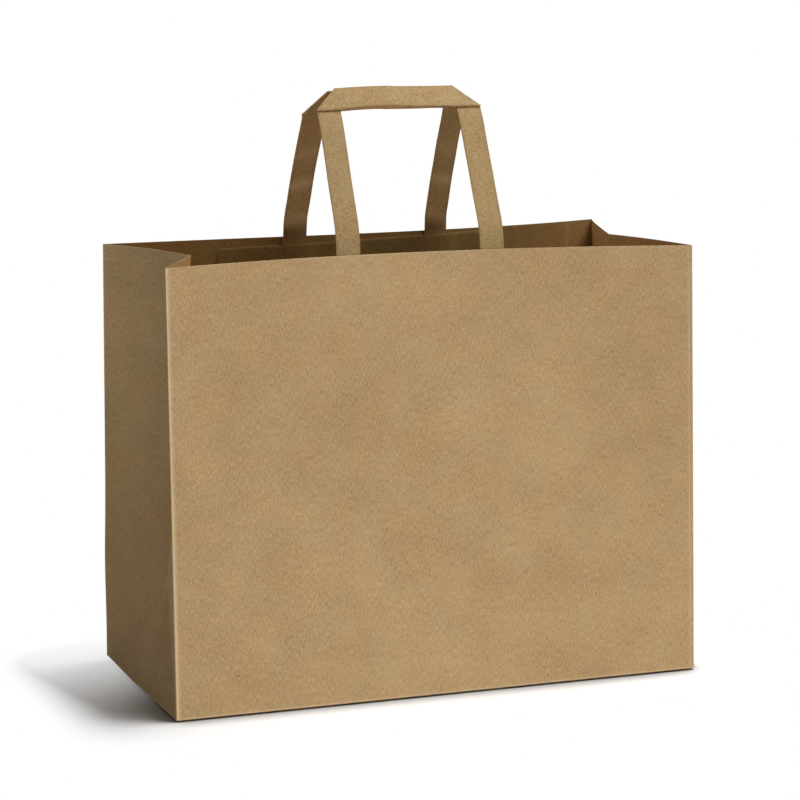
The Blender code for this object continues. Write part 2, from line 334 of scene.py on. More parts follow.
def wave(face, x, height):
    """The slight unevenness of a wide panel, as a distance outwards."""
    edge = smooth((BAG_WIDTH / 2 - abs(x)) / WAVE_EDGE) * smooth(height / WAVE_FOOT)
    place = Vector((x / WAVE_SIZE, height / WAVE_SIZE, face * WAVE_SEED))
    return WAVE_HEIGHT * edge * noise.noise(place)


def panel_point(face, across, up):
    """The outside of a wide panel. across runs from -1 at its left edge to 1, up from 0 at the base to 1."""
    if face == FRONT:
        corner_lean = between(FRONT_LEFT_LEAN, FRONT_RIGHT_LEAN, across)
        corner_drop = between(FRONT_LEFT_DROP, FRONT_RIGHT_DROP, across)
        bow = FRONT_BOW
    else:
        corner_lean = between(BACK_LEFT_LEAN, BACK_RIGHT_LEAN, across)
        corner_drop = between(BACK_LEFT_DROP, BACK_RIGHT_DROP, across)
        bow = BACK_BOW
    lean = corner_lean * up + bow * (1 - across**2) * up**BOW_RISE
    lean -= wave(face, across * BAG_WIDTH / 2, up * BAG_HEIGHT)
    rim_height = math.sqrt(BAG_HEIGHT**2 - corner_lean**2) - corner_drop * across**2
    return Vector((across * BAG_WIDTH / 2, face * (BAG_DEPTH / 2 - lean), rim_height * up))


def fold_depth(side, up):
    """How far the paper of a side panel folds in at its middle, as its two edges come closer."""
    front = panel_point(FRONT, side, up)
    back = panel_point(BACK, side, up)
    half_gap = (back - front).xy.length / 2
    return math.sqrt(max((BAG_DEPTH / 2) ** 2 - half_gap**2, 0.0))


def middle_fold(side, up):
    """The move of a side panel's middle crease from between its edges: inwards and slightly down."""
    apex = APEX_HEIGHT / BAG_HEIGHT
    up = max(up, apex)
    drop = APEX_HEIGHT - math.sqrt(APEX_HEIGHT**2 - fold_depth(side, apex) ** 2)
    edge_height = (panel_point(FRONT, side, up).z + panel_point(BACK, side, up).z) / 2
    return Vector((-side * fold_depth(side, up), 0, up * BAG_HEIGHT - drop - edge_height))


def side_point(side, across, up):
    """The outside of a side panel. across runs from -1 at its front edge to 1 at its back edge."""
    front = panel_point(FRONT, side, up)
    back = panel_point(BACK, side, up)
    share = min(1 - abs(across), up * BAG_HEIGHT / APEX_HEIGHT)
    point = front.lerp(back, (1 + across) / 2) + middle_fold(side, up) * share
    height = up * BAG_HEIGHT
    open_part = smooth((height - APEX_HEIGHT) / (BAG_HEIGHT - APEX_HEIGHT) * SIDE_BOW_GROWTH)
    bulge = math.sin(math.pi * abs(across)) * open_part
    point.x -= side * SIDE_BOW * bulge * SIDE_BOW_INWARDS
    point.y += math.copysign(SIDE_BOW, across) * bulge * SIDE_BOW_ALONG
    point.z += SIDE_RIM_RISE * bulge * up
    flat = smooth((1 - abs(across)) / SIDE_WAVE_EDGE) * smooth(abs(across) / SIDE_WAVE_EDGE)
    flat *= smooth(height / SIDE_WAVE_FOOT)
    place = Vector((across * SIDE_WAVES, height / WAVE_SIZE, SIDE_WAVE_SEED + side))
    point.x += WAVE_HEIGHT * flat * noise.noise(place)
    return point


def crease_swell(height):
    """The slight ridge that the horizontal crease leaves across the back panel."""
    if height < CREASE_HEIGHT:
        return CREASE_SWELL * height / CREASE_HEIGHT
    return CREASE_SWELL * max(0.0, 1 - (height - CREASE_HEIGHT) / CREASE_HEIGHT)


GIRTH_FOLDS = [0.0]
for length in (BAG_WIDTH, BAG_DEPTH / 2, BAG_DEPTH / 2, BAG_WIDTH, BAG_DEPTH / 2, BAG_DEPTH / 2):
    GIRTH_FOLDS.append(GIRTH_FOLDS[-1] + length)
GIRTH = GIRTH_FOLDS[-1]


def sharp_wall(distance, up):
    """A point of the walls with sharp folds, at a distance round the bag from its front left edge."""
    distance %= GIRTH
    if distance < BAG_WIDTH:
        point = panel_point(FRONT, 2 * distance / BAG_WIDTH - 1, up)
        past_score = (distance - BAG_WIDTH + SCORE_INSET) / SCORE_INSET
        point.y += SCORE_TURN * max(past_score, 0)
        return point
    distance -= BAG_WIDTH
    if distance < BAG_DEPTH:
        return side_point(1, 2 * distance / BAG_DEPTH - 1, up)
    distance -= BAG_DEPTH
    if distance < BAG_WIDTH:
        across = 1 - 2 * distance / BAG_WIDTH
        point = panel_point(BACK, across, up)
        point.y += crease_swell(up * BAG_HEIGHT) * (1 - abs(across) ** CREASE_FADE)
        on_lap = (SEAM_LAP - distance) / EDGE_STEP / 2 + 0.5
        point.y += SHEET * smooth(on_lap) * smooth(distance / FOLD_SOFTNESS)
        return point
    distance -= BAG_WIDTH
    return side_point(-1, 1 - 2 * distance / BAG_DEPTH, up)


def wall(distance, up):
    """A point of the walls with soft folds."""
    fold = min(GIRTH_FOLDS, key=lambda place: abs(distance - place))
    past = distance - fold
    if abs(past) >= FOLD_SOFTNESS:
        return sharp_wall(distance, up)
    before = sharp_wall(fold - turned(-past), up)
    after = sharp_wall(fold + turned(past), up)
    return before + after - sharp_wall(fold, up)


def base_point(distance, inset):
    """A point of the flat base, at a distance round the bag and an inset from its edge."""
    edge = wall(distance, 0)
    half_width = BAG_WIDTH / 2 - inset
    half_depth = BAG_DEPTH / 2 - inset
    x = min(max(edge.x, -half_width), half_width)
    y = min(max(edge.y, -half_depth), half_depth)
    return Vector((x, y, 0))


def settle(point):
    """The small ways in which the standing bag departs from its folded form."""
    away = (point.xy - Vector((-BAG_WIDTH / 2, BAG_DEPTH / 2))).length
    point.z += CORNER_LIFT * smooth(1 - away / CORNER_REACH) ** 2 * smooth(1 - point.z / CORNER_TOP)
    edge = fade(point.z - CREASE_HEIGHT, EDGE_REACH)
    point.x -= EDGE_SWELL * edge * smooth(1 - away / EDGE_REACH)
    return point


def body_point(distance, rise):
    """A point of the sheet; rise is the distance up the wall from the base fold, and negative on the base."""
    point = wall(distance, turned(rise, BASE_SOFTNESS) / BAG_HEIGHT)
    if rise < BASE_SOFTNESS:
        point += base_point(distance, turned(-rise, BASE_SOFTNESS)) - wall(distance, 0)
    low = 1 - smooth(point.z / APEX_HEIGHT)
    point.z += 2 * SHEET + (BASE_HEIGHT - 2 * SHEET) * low
    return settle(point)


def spread(length, step):
    """Places along a length: close together near both its ends, and evenly spaced between."""
    lead = FOLD_STEPS[-1]
    count = round((length - 2 * lead) / step)
    middle = [lead + (length - 2 * lead) * part / count for part in range(1, count)]
    return [*FOLD_STEPS, *middle, *(length - place for place in reversed(FOLD_STEPS[1:]))]


def set_sheet_map(bm, places):
    """Store where each corner lies on the flat sheet, in metres, for the grain of the paper."""
    layer = bm.loops.layers.uv.new("sheet")
    for face in bm.faces:
        for corner in face.loops:
            corner[layer].uv = places[corner.vert]


def wall_columns():
    """The distances round the bag at which the grid has an edge."""
    columns = []
    for start, end in zip(GIRTH_FOLDS, GIRTH_FOLDS[1:]):
        wide = end - start > BAG_DEPTH
        places = spread(end - start, PANEL_STEP) if wide else spread(BAG_DEPTH / 2, SIDE_STEP)
        columns += [start + place for place in places[:-1]]
    lap_edge = GIRTH_FOLDS[3] + SEAM_LAP
    columns += [lap_edge - EDGE_STEP, lap_edge + EDGE_STEP]
    columns += [BAG_WIDTH - SCORE_INSET + EDGE_STEP * step for step in SCORE_COLUMNS]
    return sorted(columns)


def wall_rows():
    """The rises at which the grid has an edge: on the base, on the slanted creases, and above their top."""
    lower = [place / (BAG_DEPTH / 2) * APEX_HEIGHT for place in spread(BAG_DEPTH / 2, SIDE_STEP)]
    upper = [APEX_HEIGHT + place for place in spread(BAG_HEIGHT - APEX_HEIGHT, PANEL_STEP)[1:]]
    return [-place for place in reversed(FOLD_STEPS[1:3])] + lower + upper


def make_body(material, inside):
    bm = bmesh.new()
    wear_and_highlight = bm.verts.layers.float.new("wear_and_highlight")
    side_base_shade = bm.verts.layers.float.new("side_base_shade")
    columns = wall_columns()
    rows = wall_rows()

    places = {}
    rings = []
    for rise in rows:
        ring = []
        for distance in columns:
            vert = bm.verts.new(body_point(distance, rise))
            places[vert] = (distance, rise)
            ring.append(vert)
        rings.append(ring)

    for low, high in zip(rings, rings[1:]):
        for here in range(len(columns)):
            there = (here + 1) % len(columns)
            corners = [low[here], low[there], high[there], high[here]]
            if crosses_diagonal(*(places[corner] for corner in corners)):
                rising = side_rises(places[low[here]][0])
                split = (0, 1, 2), (0, 2, 3)
                if not rising:
                    split = (0, 1, 3), (1, 2, 3)
                for triangle in split:
                    bm.faces.new([corners[index] for index in triangle])
            else:
                bm.faces.new(corners)
    bm.faces.new(list(reversed(rings[0])))
    for vert, (distance, rise) in places.items():
        vert[wear_and_highlight] = fold_scuff_and_highlight(distance, rise)
        # Painted shade on the side panels: strongest at the base, none at the rim
        in_side = (distance - GIRTH_FOLDS[1]) % (BAG_WIDTH + BAG_DEPTH) < BAG_DEPTH
        vert[side_base_shade] = 1 - smooth(rise / BAG_HEIGHT) if in_side else 0.0
    set_sheet_map(bm, places)
    mend_girth_map(bm)
    sharpen_cuts(bm)
    mesh = bpy.data.meshes.new("kraft_body")
    bm.to_mesh(mesh)
    bm.free()
    mesh.polygons.foreach_set("use_smooth", [True] * len(mesh.polygons))
    piece = bpy.data.objects.new("kraft_body", mesh)
    mesh.materials.append(material)
    add_thickness(piece, SHEET, -1, inside)
    link(piece)
    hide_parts("bag_body")


def mend_girth_map(bm):
    """Let the last column of the sheet map run on to the full girth instead of back to zero."""
    layer = bm.loops.layers.uv["sheet"]
    for face in bm.faces:
        if len(face.loops) > 4:
            for corner in face.loops:
                corner[layer].uv = corner.vert.co.xy
            continue
        spots = [corner[layer].uv.x for corner in face.loops]
        if max(spots) - min(spots) > GIRTH / 2:
            for corner in face.loops:
                if corner[layer].uv.x < GIRTH / 2:
                    corner[layer].uv.x += GIRTH


def side_rises(distance):
    """Whether the bottom crease of a side panel climbs in the direction round the bag."""
    starts = (GIRTH_FOLDS[1], GIRTH_FOLDS[4])
    return any(start <= distance < start + BAG_DEPTH / 2 for start in starts)


def diagonal_gap(distance, rise):
    """How far a point of a side panel lies above its bottom crease, as a share of the crease's height."""
    along = (distance - GIRTH_FOLDS[1]) % (BAG_WIDTH + BAG_DEPTH)
    if along >= BAG_DEPTH:
        return 1.0
    inwards = min(along, BAG_DEPTH - along) / (BAG_DEPTH / 2)
    return rise / APEX_HEIGHT - inwards


def crosses_diagonal(low, low_next, high_next, high):
    """Whether the bottom crease of a side panel runs from corner to corner of a cell of the grid."""
    if low[1] < 0 or high[1] > APEX_HEIGHT + SHEET:
        return False
    if diagonal_gap(*low) == 1.0:
        return False
    corners = (low, low_next, high_next, high)
    on_crease = [abs(diagonal_gap(*corner)) < ON_CREASE for corner in corners]
    return (on_crease[0] and on_crease[2]) or (on_crease[1] and on_crease[3])


def scuff_and_highlight_at(pale_line, distance):
    """How strong a pale line, partly scuff and partly painted highlight, is at a distance from its middle."""
    return pale_line.strength * fade(distance, pale_line.breadth)


def fold_scuff_and_highlight(distance, rise):
    """How pale the paper is painted at a point, partly real scuffing and partly painted highlight: 1 on an
    outer fold, less on a crease.
    """
    fold = min(GIRTH_FOLDS, key=lambda place: abs(distance - place))
    breadth = FOLD_SCUFF_AND_HIGHLIGHT.breadth
    if GIRTH_FOLDS.index(fold) in MIDDLE_FOLDS:
        breadth = MIDDLE_SCUFF_AND_HIGHLIGHT.breadth
        strength = MIDDLE_SCUFF_AND_HIGHLIGHT.strength * fade(rise - APEX_HEIGHT, MIDDLE_PALE_LINE_ABOVE)
        if rise < APEX_HEIGHT:
            strength *= fade(rise - APEX_HEIGHT, MIDDLE_PALE_LINE_BELOW)
    else:
        strength = FRONT_RIGHT_STRENGTH if fold == GIRTH_FOLDS[1] else FOLD_SCUFF_AND_HIGHLIGHT.strength
    middle = PALE_LINE_INSET if fold == 0 else fold
    pale_share = max(
        strength * fade(distance - middle, breadth),
        scuff_and_highlight_at(BASE_SCUFF_AND_HIGHLIGHT, rise - BASE_PALE_LINE_RISE),
        scuff_and_highlight_at(RIM_SCUFF_AND_HIGHLIGHT, rise - BAG_HEIGHT),
        scuff_and_highlight_at(SCORE_SCUFF_AND_HIGHLIGHT, distance - BAG_WIDTH + SCORE_INSET),
    )
    if 0 < rise < APEX_HEIGHT:
        gap = abs(diagonal_gap(distance, rise)) * APEX_HEIGHT
        pale_share = max(pale_share, scuff_and_highlight_at(DIAGONAL_SCUFF_AND_HIGHLIGHT, gap))
    return pale_share


def make_flap(name, end, layer, material):
    """A flap of the block bottom, folded in from the front or the back, with its corners cut slantwise."""
    length = BAG_DEPTH / 2 + BOTTOM_OVERLAP
    rows = round(length / PANEL_STEP)
    columns = 2 * round(BAG_WIDTH / 2 / PANEL_STEP)
    bm = bmesh.new()
    wear_and_highlight = bm.verts.layers.float.new("wear_and_highlight")
    bmesh.ops.create_grid(bm, x_segments=columns, y_segments=rows, size=1)
    places = {}
    for vert in bm.verts:
        inset = BASE_SOFTNESS / 2 + (length - BASE_SOFTNESS / 2) * (vert.co.y + 1) / 2
        x = vert.co.x * (BAG_WIDTH / 2 - inset)
        y = end * (BAG_DEPTH / 2 - inset)
        edge = min(BAG_WIDTH / 2 - abs(x), BAG_DEPTH / 2 - abs(y))
        belly = BASE_BELLY * smooth(edge / BELLY_REACH)
        unevenness = SHEET * noise.noise(Vector((x, y, 0)) / WAVE_SIZE) * smooth(edge / FLAP_REACH)
        layer_drop = layer * SHEET * smooth(inset / FLAP_REACH)
        height = BASE_HEIGHT - SHEET / 2 - layer_drop - belly + unevenness
        places[vert] = (x + layer, y - end * BAG_DEPTH)
        near_cut = min((length - inset) / FLAP_CUT_BREADTH, (1 - abs(vert.co.x)) * FLAP_END_SHARPNESS)
        vert[wear_and_highlight] = FLAP_CUT_WEAR * fade(near_cut, 1)
        vert.co = settle(Vector((x, y, height)))
    set_sheet_map(bm, places)
    flap = add_piece(name, bm, material)
    add_thickness(flap, SHEET, 0)


def sharpen_cuts(bm):
    """Keep the cut edges of a sheet crisp under smooth shading."""
    for edge in bm.edges:
        if edge.is_boundary:
            edge.smooth = False


def add_piece(name, bm, material):
    """Turn a bmesh into a smooth piece that rides with the bag."""
    bmesh.ops.recalc_face_normals(bm, faces=bm.faces)
    sharpen_cuts(bm)
    mesh = bpy.data.meshes.new(name)
    bm.to_mesh(mesh)
    bm.free()
    mesh.polygons.foreach_set("use_smooth", [True] * len(mesh.polygons))
    mesh.materials.append(material)
    piece = bpy.data.objects.new(name, mesh)
    link(piece)
    return piece


def add_thickness(piece, thickness, offset, inside=None):
    modifier = piece.modifiers.new("paper thickness", "SOLIDIFY")
    if inside:
        piece.data.materials.append(inside)
        modifier.material_offset = 1
    modifier.thickness = thickness
    modifier.offset = offset
    modifier.use_even_offset = True


# The handles

def inside_point(face, x, height, standoff):
    """A point at a distance inside a wide panel, at a height that may pass the rim and follows its lean."""
    across = x / (BAG_WIDTH / 2)
    up = height / BAG_HEIGHT
    if up <= 1:
        place = panel_point(face, across, up)
    else:
        rim = panel_point(face, across, 1)
        below = panel_point(face, across, 1 - SHEET)
        place = rim + (rim - below).normalized() * (height - BAG_HEIGHT)
    return place + Vector((0, -face * standoff, 2 * SHEET))


def panel_lean(face, x):
    """The angle by which a wide panel leans inwards at its rim."""
    across = x / (BAG_WIDTH / 2)
    slope = panel_point(face, across, 1) - panel_point(face, across, 1 - SHEET)
    return math.atan2(abs(slope.y), slope.z)


def strap_place(handle, x, height, layer):
    """A point of a strap, by its height along the strap above the rim and its layer towards the panel."""
    standoff = 2 * SHEET + PIECE_GAP + STRAP / 2
    if height <= FOOT_BEND:
        return inside_point(handle.face, x, BAG_HEIGHT + height, standoff - layer)
    start = inside_point(handle.face, x, BAG_HEIGHT + FOOT_BEND, standoff)
    angle = panel_lean(handle.face, x)
    inwards = 0.0
    upwards = 0.0
    reached = FOOT_BEND
    grip_bend = handle.rise - STRAP_WIDTH - GRIP_BEND_LENGTH
    foot_bend = (FOOT_BEND, FOOT_BEND_LENGTH, handle.leg_lean)
    for bend, length, lean in (foot_bend, (grip_bend, GRIP_BEND_LENGTH, handle.grip_lean)):
        straight = min(height, bend) - reached
        inwards += straight * math.sin(angle)
        upwards += straight * math.cos(angle)
        reached += straight
        turn = (lean - angle) / length
        bent = min(height - reached, length)
        if bent > 0:
            new_angle = angle + turn * bent
            inwards += (math.cos(angle) - math.cos(new_angle)) / turn
            upwards += (math.sin(new_angle) - math.sin(angle)) / turn
            angle = new_angle
            reached += bent
    straight = height - reached
    inwards += straight * math.sin(angle) - layer * math.cos(angle)
    upwards += straight * math.cos(angle) + layer * math.sin(angle)
    return start + Vector((0, -handle.face * inwards, upwards))


def leg_spread(handle, height):
    """How much further out than at the grip the middle of a leg lies, at a height above the rim."""
    grip_low = handle.rise - STRAP_WIDTH
    return handle.splay / 2 * max(grip_low - height, 0) / grip_low


def strap_profile():
    """The round-edged cross-section of a strap, as (distance from its outer edge, offset) pairs."""
    edge = [math.pi * (0.5 + step / ROUND_STEPS) for step in range(ROUND_STEPS + 1)]
    radius = STRAP / 2
    left = [(radius * (1 + math.cos(angle)), radius * math.sin(angle)) for angle in edge]
    flat = [radius + (STRAP_WIDTH - STRAP) * part / FLAT_STEPS for part in range(1, FLAT_STEPS)]
    right = [(STRAP_WIDTH - across, -offset) for across, offset in left]
    lower = [(across, -radius) for across in flat]
    upper = [(across, radius) for across in reversed(flat)]
    return left + lower + right + upper


def half_strap(handle):
    """Cross lines of the right half of a strap: lower and upper end as (x, height), and the fold's angle."""
    outer = (handle.pitch + STRAP_WIDTH) / 2
    inner = outer - STRAP_WIDTH
    grip_low = handle.rise - STRAP_WIDTH
    foot = handle.rise - HANDLE_LENGTH
    lead = 2 * STRAP
    count = round((grip_low - lead - foot) / STRAP_STEP)
    lines = []
    for step in range(count + 1):
        height = foot + (grip_low - lead - foot) * step / count
        lines.append(((outer, height), (inner, height), 0.0))
    for share in CORNER_SHARES:
        low = grip_low - lead * (1 - share)
        high = grip_low - lead + (STRAP_WIDTH + lead) * share
        lines.append(((outer, low), (inner, high), 0.0))
    for step in range(CORNER_STEPS + 1):
        lines.append(((outer, grip_low), (inner, handle.rise), math.pi * step / CORNER_STEPS))
    for share in CORNER_SHARES:
        low = outer - (STRAP_WIDTH + lead) * share
        high = inner - lead * share
        lines.append(((low, grip_low), (high, handle.rise), math.pi))
    count = round((inner - lead) / STRAP_STEP)
    for step in range(count + 1):
        x = (inner - lead) * (1 - step / count)
        lines.append(((x, grip_low), (x, handle.rise), math.pi))
    return lines


def grip_lift(handle, x, across):
    """How far the grip bows upwards, more at its lower edge than at its upper one."""
    reach = (handle.pitch - STRAP_WIDTH) / 2
    arch = math.cos(math.pi / 2 * min(abs(x + reach * GRIP_ARCH_SHIFT) / reach, 1)) ** 2
    return arch * (GRIP_ARCH_LOW + (GRIP_ARCH_TOP - GRIP_ARCH_LOW) * across)


def strap_wave(handle, side, x, height):
    """The slight waves of a leg above the rim, and of the grip."""
    free = smooth((height - FOOT_BEND) / STRAP_WAVE_START)
    seed = STRAP_FACE_SEED * handle.face + STRAP_SIDE_SEED * side
    place = Vector((height / STRAP_WAVE_SIZE, x / STRAP_WAVE_ACROSS, seed))
    strength = STRAP_WAVE if handle.face == FRONT else BACK_STRAP_WAVE
    return strength * free * noise.noise(place)


def painted_bend_highlight(x, height):
    """How much paler a back leg is painted in bands where its waves catch the light: a painted highlight."""
    pale = 0.0
    for middle, breadth, strength in PAINTED_BEND_HIGHLIGHTS:
        slant = height + BEND_HIGHLIGHT_SLANT * (abs(x) - BACK_HANDLE.pitch / 2)
        pale += strength * fade(slant - middle, breadth)
    return pale


def make_handle(name, handle, node, material):
    """A strap whose legs follow the panel, folded across its two upper corners and joined by its grip."""
    profile = strap_profile()
    half = [(1, line) for line in half_strap(handle)]
    lines = half + [(-1, line) for _, line in reversed(half[:-1])]
    radius = (STRAP + STRAP_FOLD_GAP) / 2
    inner = (handle.pitch - STRAP_WIDTH) / 2
    bm = bmesh.new()
    wear_and_highlight = bm.verts.layers.float.new("wear_and_highlight")
    rings = []
    places = {}
    along = 0.0
    previous = None
    for side, (low, high, angle) in lines:
        middle = (Vector(low) + Vector(high)) / 2
        middle.x *= side
        along += (middle - previous).length if previous else 0.0
        previous = middle
        ring = []
        for across, offset in profile:
            share = across / STRAP_WIDTH
            x, height = Vector(low).lerp(Vector(high), share)
            out = (radius + offset) * math.sin(angle) / math.sqrt(2)
            layer = radius - (radius + offset) * math.cos(angle)
            if angle == math.pi:
                freed = smooth((inner + STRAP_WIDTH * GRIP_FREE - x) / STRAP_WIDTH)
                layer += GRIP_STAND_OFF * (1 - share) * freed
                height += grip_lift(handle, side * x, share) * freed
            layer += strap_wave(handle, side, x, height)
            x = side * (x + out)
            height += out
            x += math.copysign(leg_spread(handle, height), x)
            height += x * math.tan(handle.tilt)
            vert = bm.verts.new(strap_place(handle, handle.middle + x, height, layer))
            vert[wear_and_highlight] = STRAP_CUT_WEAR * fade(min(across, STRAP_WIDTH - across), STRAP_CUT_BREADTH)
            # Painted highlight: pale bands on the back legs, added to the scuff layer
            if handle.face == BACK:
                vert[wear_and_highlight] += painted_bend_highlight(x, height)
            places[vert] = (along + handle.face, across + offset)
            ring.append(vert)
        rings.append(ring)
    for ring, following in zip(rings, rings[1:]):
        for here in range(len(profile)):
            there = (here + 1) % len(profile)
            bm.faces.new([ring[here], ring[there], following[there], following[here]])
    bm.faces.new(rings[0])
    bm.faces.new(rings[-1])
    set_sheet_map(bm, places)
    piece = add_piece(name, bm, material)
    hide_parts(node)


# The patches

def patch_rise(handle, x):
    """How far the patch is lifted off the panel at x: 0 beside the straps and 1 over them."""
    foot = handle.pitch / 2 + leg_spread(handle, -PATCH_TOP - PATCH_HEIGHT / 2)
    beside = min(abs(x - handle.middle - side * foot) for side in (-1, 1)) - STRAP_WIDTH / 2 - PATCH_EASE
    return 1 - smooth(beside / PATCH_RAMP)


def patch_columns(handle):
    """Places along the patch, evenly spaced and closer together where it rides up over the straps."""
    count = round(PATCH_LENGTH / PATCH_STEP)
    places = [PATCH_LENGTH * (step / count - 0.5) for step in range(count + 1)]
    foot = handle.pitch / 2 + leg_spread(handle, -PATCH_TOP - PATCH_HEIGHT / 2)
    for side in (-1, 1):
        for edge in (-1, 1):
            start = handle.middle + side * foot + edge * (STRAP_WIDTH / 2 + PATCH_EASE)
            clear = [not -RAMP_MARGIN < edge * (place - start) < PATCH_RAMP + RAMP_MARGIN for place in places]
            places = [place for place, is_clear in zip(places, clear) if is_clear]
            places += [start + edge * PATCH_RAMP * step / RAMP_STEPS for step in range(RAMP_STEPS + 1)]
    return sorted(places)


def make_patch(name, handle, node, material):
    """A strip of paper glued inside a wide panel, which rides up over the two strap ends."""
    columns = patch_columns(handle)
    rows = round(PATCH_HEIGHT / PATCH_STEP)
    heights = [*FOLD_STEPS[:4], *(PATCH_STEP * row for row in range(1, rows)), PATCH_HEIGHT]
    low = 2 * SHEET + PIECE_GAP + PATCH / 2
    bm = bmesh.new()
    wear_and_highlight = bm.verts.layers.float.new("wear_and_highlight")
    bmesh.ops.create_grid(bm, x_segments=len(columns) - 1, y_segments=len(heights) - 1, size=1)
    places = {}
    for vert in bm.verts:
        x = columns[round((vert.co.x + 1) / 2 * (len(columns) - 1))]
        down = heights[round((1 - vert.co.y) / 2 * (len(heights) - 1))]
        drop = PATCH_TOP + down - x * math.tan(handle.tilt)
        place = Vector((x / PATCH_WAVE_ACROSS, down / PATCH_WAVE_DOWN, handle.face))
        ripple = PATCH_WAVE * (1 + noise.noise(place))
        standoff = low + patch_rise(handle, x) * (STRAP + PIECE_GAP) + ripple
        # The top edge of each patch is painted paler
        vert[wear_and_highlight] = fade(down, PATCH_TOP_PALE_BREADTH)
        places[vert] = (x + PATCH_MAP_SHIFT * handle.face, down)
        vert.co = inside_point(handle.face, x, BAG_HEIGHT - drop, standoff)
    set_sheet_map(bm, places)
    piece = add_piece(name, bm, material)
    add_thickness(piece, PATCH, 0)
    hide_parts(node)


# Paper

def add_node(tree, kind, inputs=(), **settings):
    node = tree.nodes.new("ShaderNode" + kind)
    for name, value in settings.items():
        setattr(node, name, value)
    for name, value in dict(inputs).items():
        if isinstance(value, bpy.types.NodeSocket):
            tree.links.new(value, node.inputs[name])
        else:
            node.inputs[name].default_value = value
    return node


def calculate(tree, operation, first, second, **settings):
    """The result of a Math node."""
    return add_node(tree, "Math", {0: first, 1: second}, operation=operation, **settings).outputs[0]


def calculate_vector(tree, operation, *vectors):
    """The result of a Vector Math node."""
    return add_node(tree, "VectorMath", enumerate(vectors), operation=operation).outputs["Vector"]


def remapped(tree, value, before, after=(0.0, 1.0), **settings):
    """A value that runs over one range, made to run over another."""
    inputs = {"Value": value, "From Min": before[0], "From Max": before[1]}
    inputs |= {"To Min": after[0], "To Max": after[1]}
    return add_node(tree, "MapRange", inputs, **settings).outputs[0]


def mixed(tree, factor, first, second, **settings):
    """The result of a colour Mix node."""
    inputs = {"Factor": factor, "A": first, "B": second}
    return add_node(tree, "Mix", inputs, data_type="RGBA", **settings).outputs["Result"]


def mapped(tree, vector, way, values):
    """A vector moved or stretched by the Location or the Scale of a Mapping node."""
    return add_node(tree, "Mapping", {"Vector": vector, way: values}).outputs["Vector"]


def attribute(tree, name):
    return add_node(tree, "Attribute", attribute_name=name).outputs["Fac"]


def cloud_noise(tree, vector, cloud):
    inputs = {"Vector": vector, "Scale": cloud.scale, "Detail": cloud.detail, "Roughness": cloud.roughness}
    return add_node(tree, "TexNoise", inputs).outputs["Fac"]


def scaled(colour, factors):
    """A colour with each of its parts multiplied by a factor."""
    return (*(part * factor for part, factor in zip(colour, factors)), 1)


def paper_tone(tree, place):
    """How pale the paper is, with 0.5 in the middle, and the part of that which its fibres make."""
    fibre_place = mapped(tree, place, "Scale", FIBRE_STRETCH)
    tone = None
    for vector, cloud in [*((place, cloud) for cloud in CLOUDS), (fibre_place, FIBRES)]:
        centred = calculate(tree, "SUBTRACT", cloud_noise(tree, vector, cloud), 0.5)
        amount = calculate(tree, "MULTIPLY", centred, cloud.strength)
        tone = amount if tone is None else calculate(tree, "ADD", tone, amount)
    return calculate(tree, "ADD", tone, 0.5), amount


def brown_clouds(tree, level, colour):
    """The paper's colour, from its darkest cloud to its palest."""
    ramp = add_node(tree, "ValToRGB", {"Fac": level})
    ramp.color_ramp.elements[0].color = scaled(colour, DARK_CLOUD)
    ramp.color_ramp.elements[1].color = scaled(colour, PALE_CLOUD)
    middle = ramp.color_ramp.elements.new(0.5)
    middle.color = (*colour, 1)
    return ramp.outputs["Color"]


def warm_patches(tree, place):
    """A tint that runs between cooler and warmer paper."""
    clouds = cloud_noise(tree, mapped(tree, place, "Location", WARMTH_SHIFT), WARMTH_CLOUD)
    return mixed(tree, remapped(tree, clouds, WARMTH_RANGE), COOL_PATCH, WARM_PATCH)


def speck_cover(tree, place):
    """How far a dark speck covers the paper: only a few of the cells hold one."""
    cells = add_node(tree, "TexVoronoi", {"Vector": place, "Scale": SPECK_CELLS, "Randomness": 1.0})
    chosen = add_node(tree, "SeparateColor", {"Color": cells.outputs["Color"]}).outputs[0]
    rare = calculate(tree, "GREATER_THAN", chosen, SPECK_RARITY)
    size = remapped(tree, cells.outputs["Distance"], SPECK_RIM, SPECK_COVER)
    return calculate(tree, "MULTIPLY", rare, size)


